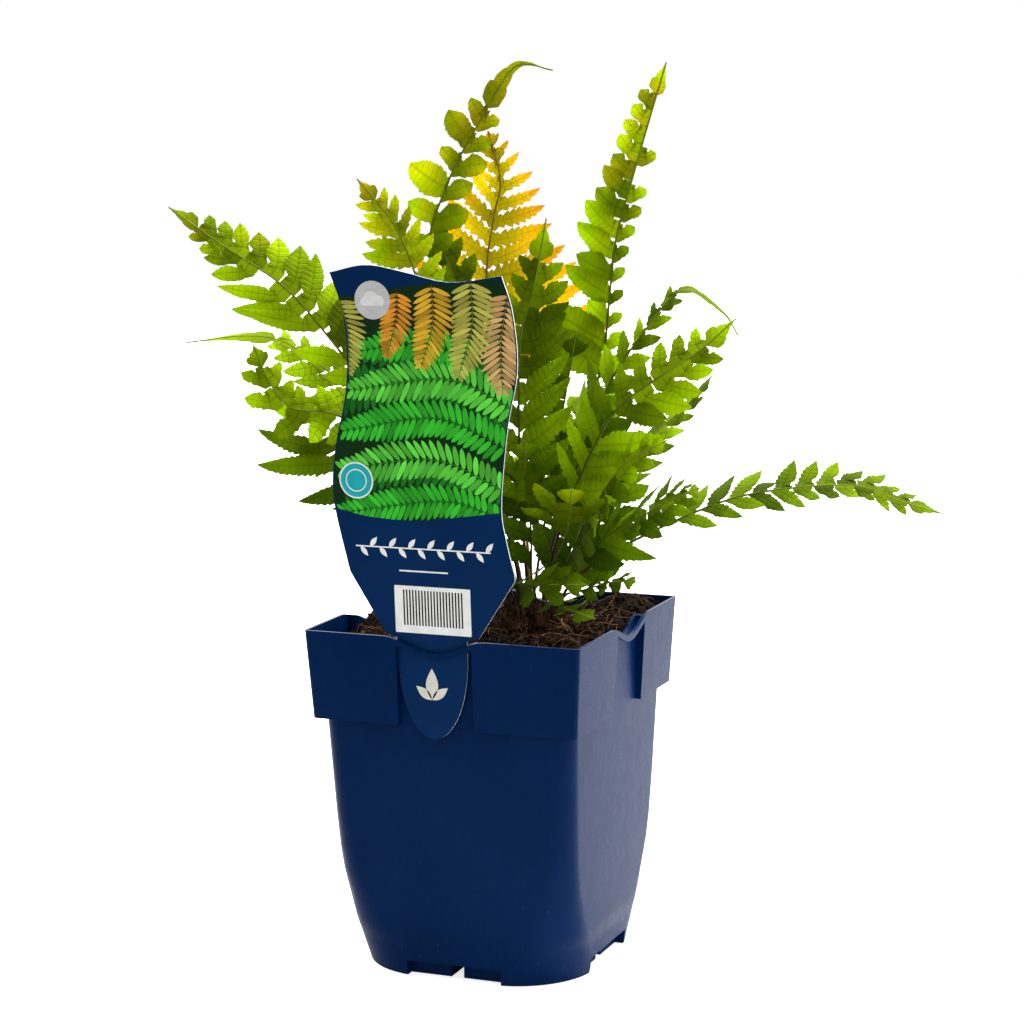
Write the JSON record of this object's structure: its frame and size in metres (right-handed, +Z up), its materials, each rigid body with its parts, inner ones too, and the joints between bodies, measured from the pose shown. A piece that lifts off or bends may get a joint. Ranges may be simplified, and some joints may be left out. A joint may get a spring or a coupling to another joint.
{
  "type": "potted autumn fern",
  "caption": "Evergreen fern with arching, pinnate fronds turning copper, growing from a square blue nursery pot of peat with a plant tag in its front slot.",
  "frame": {"origin": "middle of the pot's underside, on the surface it stands on", "axes": "+Z up along the pot's axis; -Y is the front, the side that carries the plant tag; +X to the viewer's right"},
  "size_m": [0.3361, 0.1815, 0.4064],
  "materials": {
    "pot_shell": "satin",
    "peat": "matte",
    "rhizome": "matte",
    "label_print": "satin",
    "leaf_green": "satin",
    "leaf_light": "satin",
    "leaf_copper": "satin"
  },
  "bodies": {
    "root": {"pot": "pot_shell", "soil": "peat", "crown": "rhizome", "label": "label_print", "frond_top_tall": "leaf_light", "frond_top_copper": "leaf_copper", "frond_top_left": "leaf_light", "frond_centre_tall": "leaf_green", "frond_behind_label": "leaf_green", "frond_left_long": "leaf_light", "frond_left_thin": "leaf_green", "frond_left_front": "leaf_green", "frond_left_low": "leaf_green", "frond_right_tall": "leaf_light", "frond_right_arch": "leaf_green", "frond_right_bright": "leaf_light", "frond_right_back": "leaf_green", "frond_right_mid": "leaf_light", "frond_centre_low": "leaf_light", "frond_inner": "leaf_green", "frond_inner_back": "leaf_green", "frond_far_right": "leaf_light", "frond_right_low": "leaf_green", "frond_low_front": "leaf_green", "frond_low_small": "leaf_light", "frond_low_right": "leaf_green", "frond_low_back": "leaf_green", "frond_back_left": "leaf_green", "frond_back": "leaf_green"}
  },
  "joints": []
}
